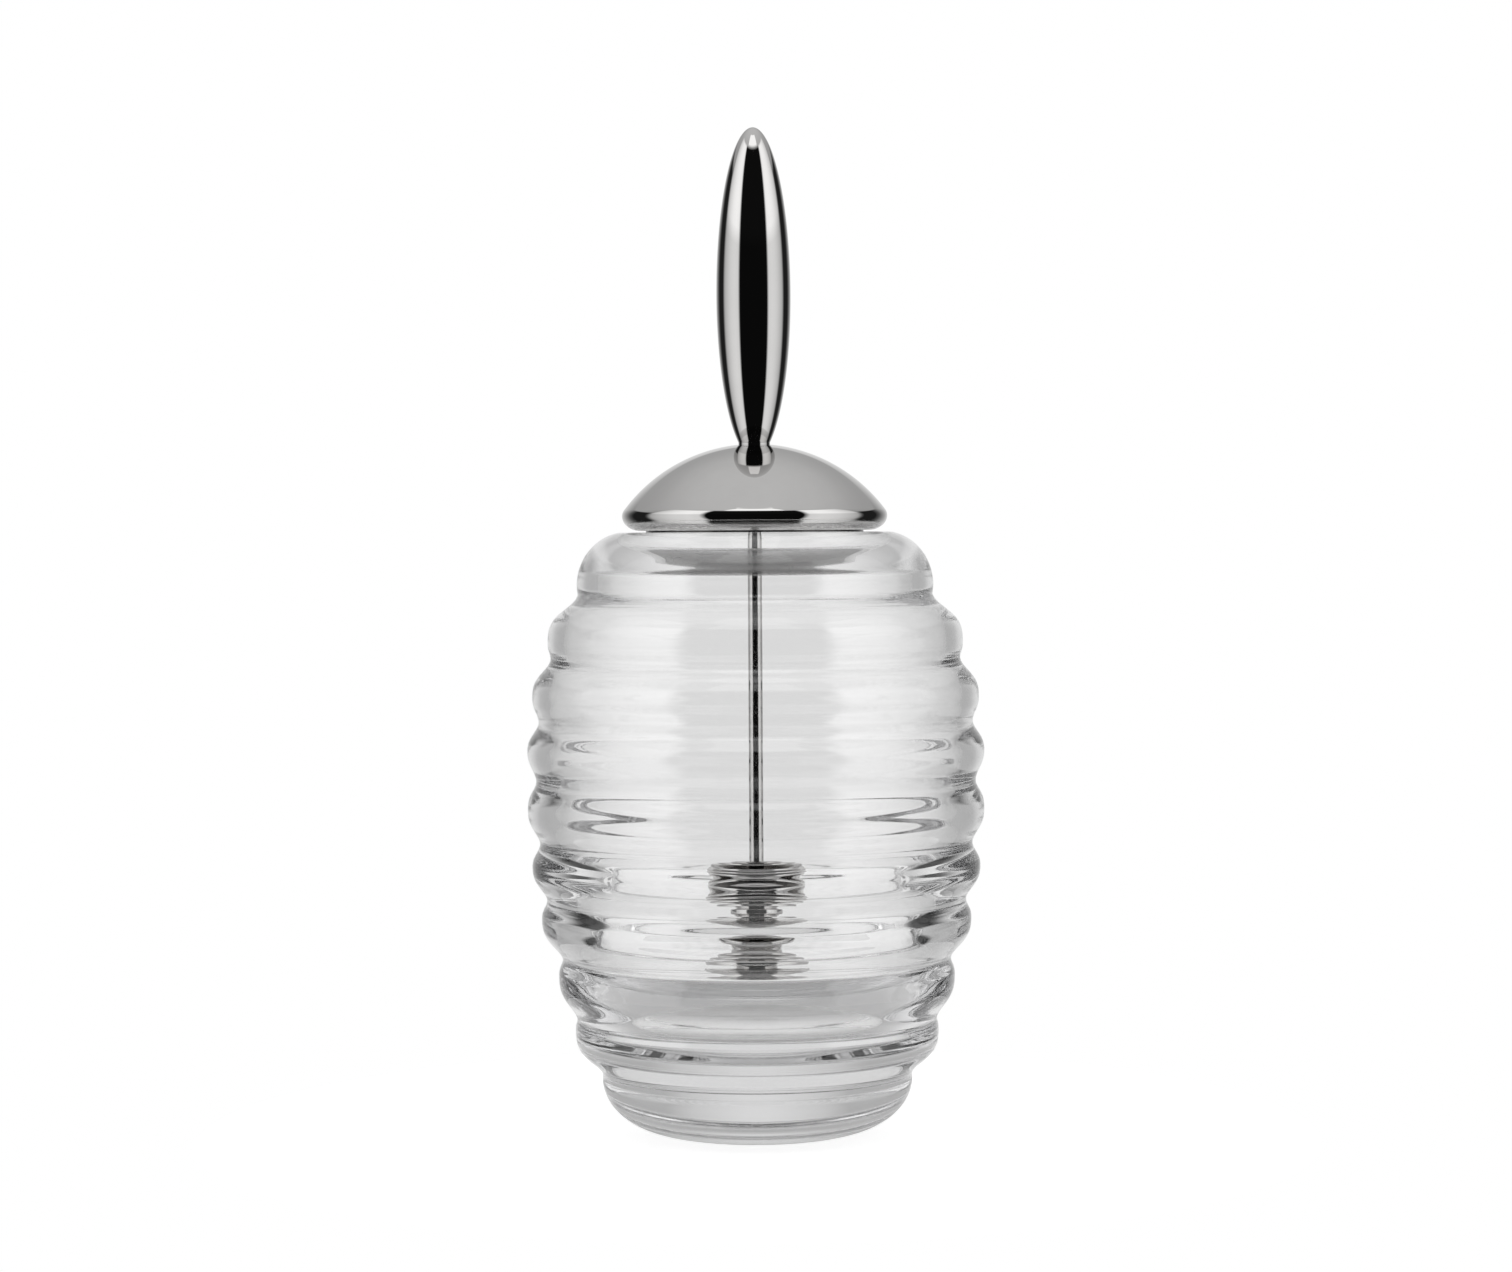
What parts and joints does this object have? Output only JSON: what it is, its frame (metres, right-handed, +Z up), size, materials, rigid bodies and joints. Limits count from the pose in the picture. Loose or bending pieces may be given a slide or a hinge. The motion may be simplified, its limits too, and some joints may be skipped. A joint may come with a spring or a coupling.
{
  "type": "honey pot",
  "caption": "Ringed clear glass honey pot with a domed steel lid that lifts off together with its spindle handle and grooved dipper.",
  "frame": {"origin": "under the middle of the jar's foot, on the surface that it stands on", "axes": "+Z up along the jar's axis, through the rod and the handle"},
  "size_m": [0.09, 0.09, 0.1976],
  "materials": {
    "clear_glass": "clear, fire polished",
    "mirror_steel": "mirror polished stainless steel",
    "plain_steel": "plain machined stainless steel"
  },
  "bodies": {
    "jar": {"glass_jar": "clear_glass"},
    "lid": {"lid_dome": "mirror_steel", "lid_cup": "mirror_steel", "handle": "mirror_steel", "dipper_rod": "mirror_steel", "dipper_head": "mirror_steel", "lid_washer": "plain_steel", "lid_nut": "plain_steel"}
  },
  "joints": [
    {"name": "lid_lift", "type": "slide", "parent": "jar", "child": "lid", "axis": [0, 0, 1], "range_m": [0, 0.1]}
  ]
}
